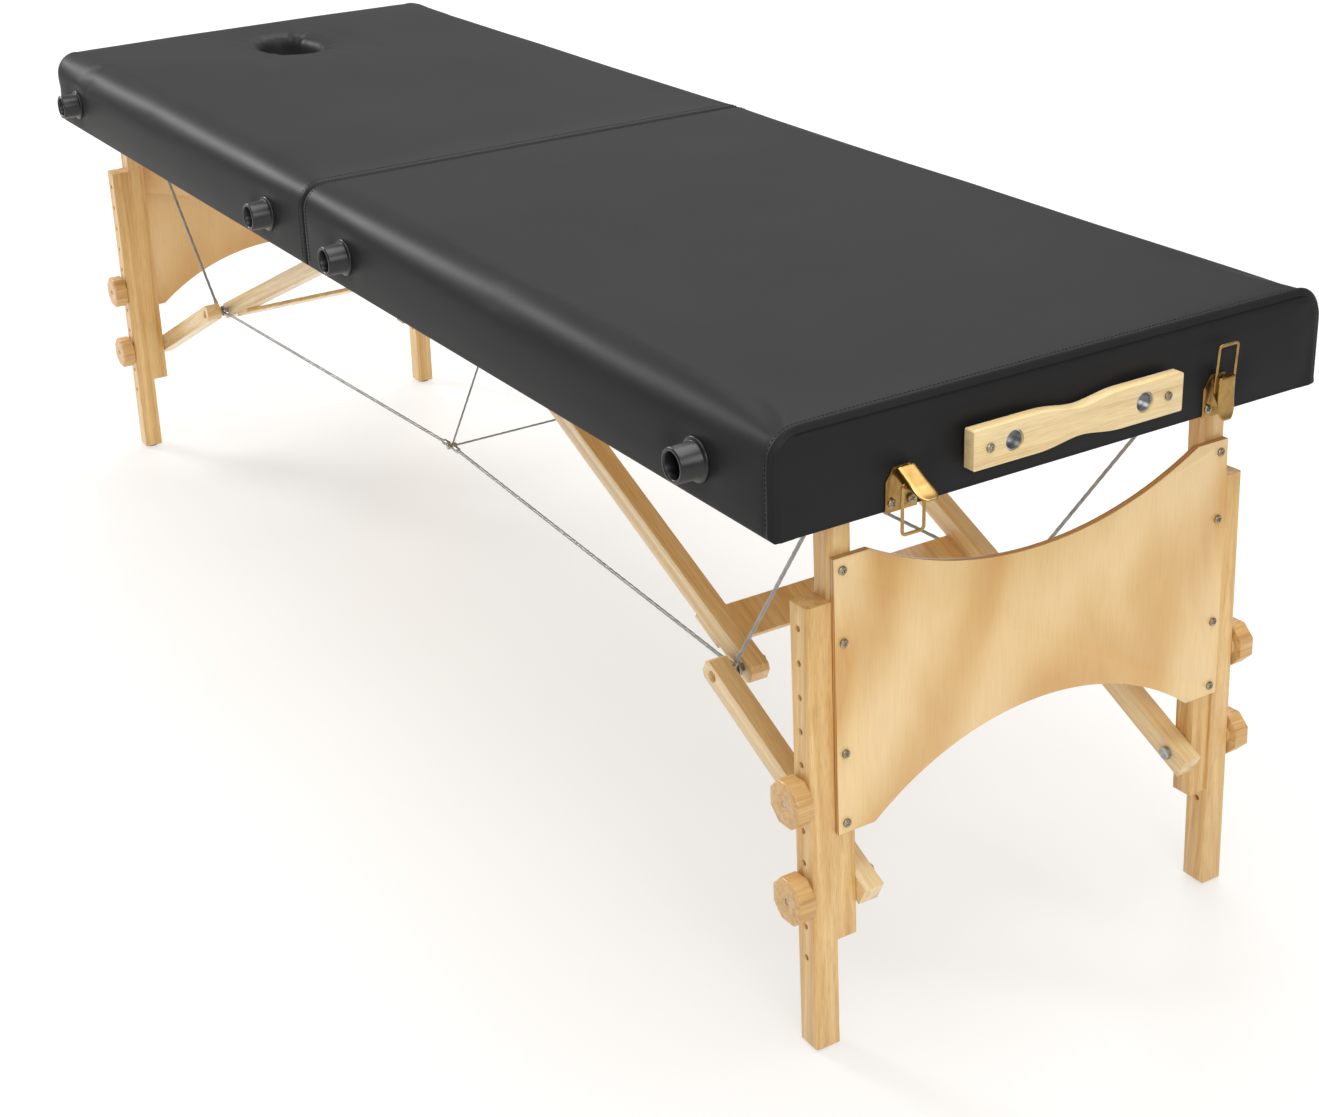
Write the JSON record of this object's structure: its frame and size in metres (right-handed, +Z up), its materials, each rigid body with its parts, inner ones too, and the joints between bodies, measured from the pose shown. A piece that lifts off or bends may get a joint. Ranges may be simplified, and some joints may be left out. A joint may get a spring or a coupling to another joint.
{
  "type": "portable massage table",
  "caption": "Portable folding massage table: padded vinyl top in hinged halves with a face hole, height-adjustable wooden legs, folding struts and bracing cables.",
  "frame": {"origin": "on the floor, under the middle of the overall box", "axes": "+X towards the foot end with the handle and latches, +Z up, -Y the near long side"},
  "size_m": [1.8686, 0.644, 0.612],
  "materials": {
    "hardwood_post": "clear lacquer, warm pale hardwood",
    "birch_ply": "clear lacquered plywood face with pale edges",
    "frame_timber": "planed, unfinished",
    "handle_pine": "clear satin lacquer on pale pine",
    "black_vinyl": "soft matt black vinyl with fine grain",
    "foam": "open-cell foam",
    "steel": "zinc plated",
    "antique_brass": "aged brass plating",
    "black_plastic": "moulded, satin",
    "knob_beech": "clear lacquered, end grain on the faces",
    "cable_plastic": "clear grey plastic over twisted steel"
  },
  "bodies": {
    "foot_section": {"foot_rail_frame": "frame_timber", "foot_deck_board": "birch_ply", "foot_foam": "foam", "foot_cover": "black_vinyl", "foot_sockets": "black_plastic", "foot_brackets": "steel", "foot_section_pins": "steel", "foot_hinge_leaves": "steel", "carry_handle": "handle_pine", "foot_end_fasteners": "steel", "latch_plates": "antique_brass"},
    "head_section": {"head_rail_frame": "frame_timber", "head_deck_board": "birch_ply", "head_foam": "foam", "head_cover": "black_vinyl", "face_hole_liner": "black_vinyl", "head_sockets": "black_plastic", "head_brackets": "steel", "head_section_pins": "steel", "head_hinge_leaves": "steel", "latch_catches": "antique_brass", "head_end_fasteners": "steel"},
    "foot_harness": {"centre_cables": "cable_plastic"},
    "head_harness": {"head_cable_shackles": "steel"},
    "foot_leg": {"foot_inner_posts": "hardwood_post", "foot_end_panel": "birch_ply", "foot_leg_fasteners": "steel"},
    "foot_braces": {"foot_upper_braces": "hardwood_post", "foot_crossbar": "birch_ply", "foot_knee_bolts": "steel", "foot_leg_cables": "cable_plastic"},
    "foot_links": {"foot_lower_links": "hardwood_post"},
    "foot_near_extension": {"foot_near_outer_post": "hardwood_post", "foot_near_glide": "black_plastic"},
    "foot_near_upper_knob_body": {"foot_near_upper_knob": "knob_beech"},
    "foot_near_lower_knob_body": {"foot_near_lower_knob": "knob_beech"},
    "foot_far_extension": {"foot_far_outer_post": "hardwood_post", "foot_far_glide": "black_plastic"},
    "foot_far_upper_knob_body": {"foot_far_upper_knob": "knob_beech"},
    "foot_far_lower_knob_body": {"foot_far_lower_knob": "knob_beech"},
    "head_leg": {"head_inner_posts": "hardwood_post", "head_end_panel": "birch_ply", "head_leg_fasteners": "steel"},
    "head_braces": {"head_upper_braces": "hardwood_post", "head_crossbar": "birch_ply", "head_knee_bolts": "steel", "head_leg_cables": "cable_plastic"},
    "head_links": {"head_lower_links": "hardwood_post"},
    "head_near_extension": {"head_near_outer_post": "hardwood_post", "head_near_glide": "black_plastic"},
    "head_near_upper_knob_body": {"head_near_upper_knob": "knob_beech"},
    "head_near_lower_knob_body": {"head_near_lower_knob": "knob_beech"},
    "head_far_extension": {"head_far_outer_post": "hardwood_post", "head_far_glide": "black_plastic"},
    "head_far_upper_knob_body": {"head_far_upper_knob": "knob_beech"},
    "head_far_lower_knob_body": {"head_far_lower_knob": "knob_beech"},
    "near_lever": {"near_latch_lever": "antique_brass"},
    "near_bail": {"near_latch_bail": "antique_brass"},
    "far_lever": {"far_latch_lever": "antique_brass"},
    "far_bail": {"far_latch_bail": "antique_brass"}
  },
  "joints": [
    {"name": "centre_fold", "type": "hinge", "parent": "foot_section", "child": "head_section", "pos_m": [-0.01731, 0, 0.5155], "axis": [0, -1, 0], "range_deg": [0, 110]},
    {"name": "foot_harness_swing", "type": "hinge", "parent": "foot_section", "child": "foot_harness", "pos_m": [-0.01731, 0, 0.5155], "axis": [0, -1, 0], "range_deg": [0, 55]},
    {"name": "head_harness_swing", "type": "hinge", "parent": "head_section", "child": "head_harness", "pos_m": [-0.01731, 0, 0.5155], "axis": [0, -1, 0], "range_deg": [-55, 0]},
    {"name": "foot_leg_fold", "type": "hinge", "parent": "foot_section", "child": "foot_leg", "pos_m": [0.84756, 0, 0.5415], "axis": [0, 1, 0], "range_deg": [0, 90]},
    {"name": "foot_brace_fold", "type": "hinge", "parent": "foot_section", "child": "foot_braces", "pos_m": [0.02669, 0, 0.536], "axis": [0, 1, 0], "range_deg": [-26, 0], "deforming": ["foot_leg_cables"]},
    {"name": "foot_link_fold", "type": "hinge", "parent": "foot_leg", "child": "foot_links", "pos_m": [0.85793, 0, 0.15779], "axis": [0, 1, 0], "range_deg": [0, 58]},
    {"name": "foot_near_leg_extension", "type": "slide", "parent": "foot_leg", "child": "foot_near_extension", "axis": [0.027, 0, -0.9996], "range_m": [-0.032, 0.16]},
    {"name": "foot_near_upper_knob_turn", "type": "hinge", "parent": "foot_leg", "child": "foot_near_upper_knob_body", "pos_m": [0.85533, -0.256, 0.25376], "axis": [0, -1, 0], "continuous": true},
    {"name": "foot_near_lower_knob_turn", "type": "hinge", "parent": "foot_leg", "child": "foot_near_lower_knob_body", "pos_m": [0.85793, -0.256, 0.15779], "axis": [0, -1, 0], "continuous": true},
    {"name": "foot_far_leg_extension", "type": "slide", "parent": "foot_leg", "child": "foot_far_extension", "axis": [0.027, 0, -0.9996], "range_m": [-0.032, 0.16]},
    {"name": "foot_far_upper_knob_turn", "type": "hinge", "parent": "foot_leg", "child": "foot_far_upper_knob_body", "pos_m": [0.85533, 0.256, 0.25376], "axis": [0, 1, 0], "continuous": true},
    {"name": "foot_far_lower_knob_turn", "type": "hinge", "parent": "foot_leg", "child": "foot_far_lower_knob_body", "pos_m": [0.85793, 0.256, 0.15779], "axis": [0, 1, 0], "continuous": true},
    {"name": "head_leg_fold", "type": "hinge", "parent": "head_section", "child": "head_leg", "pos_m": [-0.88219, 0, 0.5415], "axis": [0, -1, 0], "range_deg": [0, 90]},
    {"name": "head_brace_fold", "type": "hinge", "parent": "head_section", "child": "head_braces", "pos_m": [-0.06131, 0, 0.536], "axis": [0, -1, 0], "range_deg": [-26, 0], "deforming": ["head_leg_cables"]},
    {"name": "head_link_fold", "type": "hinge", "parent": "head_leg", "child": "head_links", "pos_m": [-0.89255, 0, 0.15779], "axis": [0, -1, 0], "range_deg": [0, 58]},
    {"name": "head_near_leg_extension", "type": "slide", "parent": "head_leg", "child": "head_near_extension", "axis": [-0.027, 0, -0.9996], "range_m": [-0.032, 0.16]},
    {"name": "head_near_upper_knob_turn", "type": "hinge", "parent": "head_leg", "child": "head_near_upper_knob_body", "pos_m": [-0.88996, -0.256, 0.25376], "axis": [0, -1, 0], "continuous": true},
    {"name": "head_near_lower_knob_turn", "type": "hinge", "parent": "head_leg", "child": "head_near_lower_knob_body", "pos_m": [-0.89255, -0.256, 0.15779], "axis": [0, -1, 0], "continuous": true},
    {"name": "head_far_leg_extension", "type": "slide", "parent": "head_leg", "child": "head_far_extension", "axis": [-0.027, 0, -0.9996], "range_m": [-0.032, 0.16]},
    {"name": "head_far_upper_knob_turn", "type": "hinge", "parent": "head_leg", "child": "head_far_upper_knob_body", "pos_m": [-0.88996, 0.256, 0.25376], "axis": [0, 1, 0], "continuous": true},
    {"name": "head_far_lower_knob_turn", "type": "hinge", "parent": "head_leg", "child": "head_far_lower_knob_body", "pos_m": [-0.89255, 0.256, 0.15779], "axis": [0, 1, 0], "continuous": true},
    {"name": "near_latch_lever_turn", "type": "hinge", "parent": "foot_section", "child": "near_lever", "pos_m": [0.90169, -0.173, 0.552], "axis": [0, -1, 0], "range_deg": [-60, 30]},
    {"name": "near_latch_bail_turn", "type": "hinge", "parent": "near_lever", "child": "near_bail", "pos_m": [0.90948, -0.173, 0.5475], "axis": [0, -1, 0], "range_deg": [-30, 60]},
    {"name": "far_latch_lever_turn", "type": "hinge", "parent": "foot_section", "child": "far_lever", "pos_m": [0.90169, 0.173, 0.552], "axis": [0, -1, 0], "range_deg": [0, 90]},
    {"name": "far_latch_bail_turn", "type": "hinge", "parent": "far_lever", "child": "far_bail", "pos_m": [0.90169, 0.173, 0.543], "axis": [0, -1, 0], "range_deg": [-79, 0]}
  ],
  "couplings": [
    {"joint": "foot_harness_swing", "follows": "centre_fold", "ratio": 0.5},
    {"joint": "head_harness_swing", "follows": "centre_fold", "ratio": -0.5},
    {"joint": "foot_brace_fold", "follows": "foot_leg_fold", "ratio": -0.28563},
    {"joint": "foot_link_fold", "follows": "foot_leg_fold", "ratio": 0.6414},
    {"joint": "head_brace_fold", "follows": "head_leg_fold", "ratio": -0.28563},
    {"joint": "head_link_fold", "follows": "head_leg_fold", "ratio": 0.6414},
    {"joint": "near_latch_bail_turn", "follows": "near_latch_lever_turn", "ratio": -1},
    {"joint": "far_latch_bail_turn", "follows": "far_latch_lever_turn", "ratio": -0.87}
  ]
}
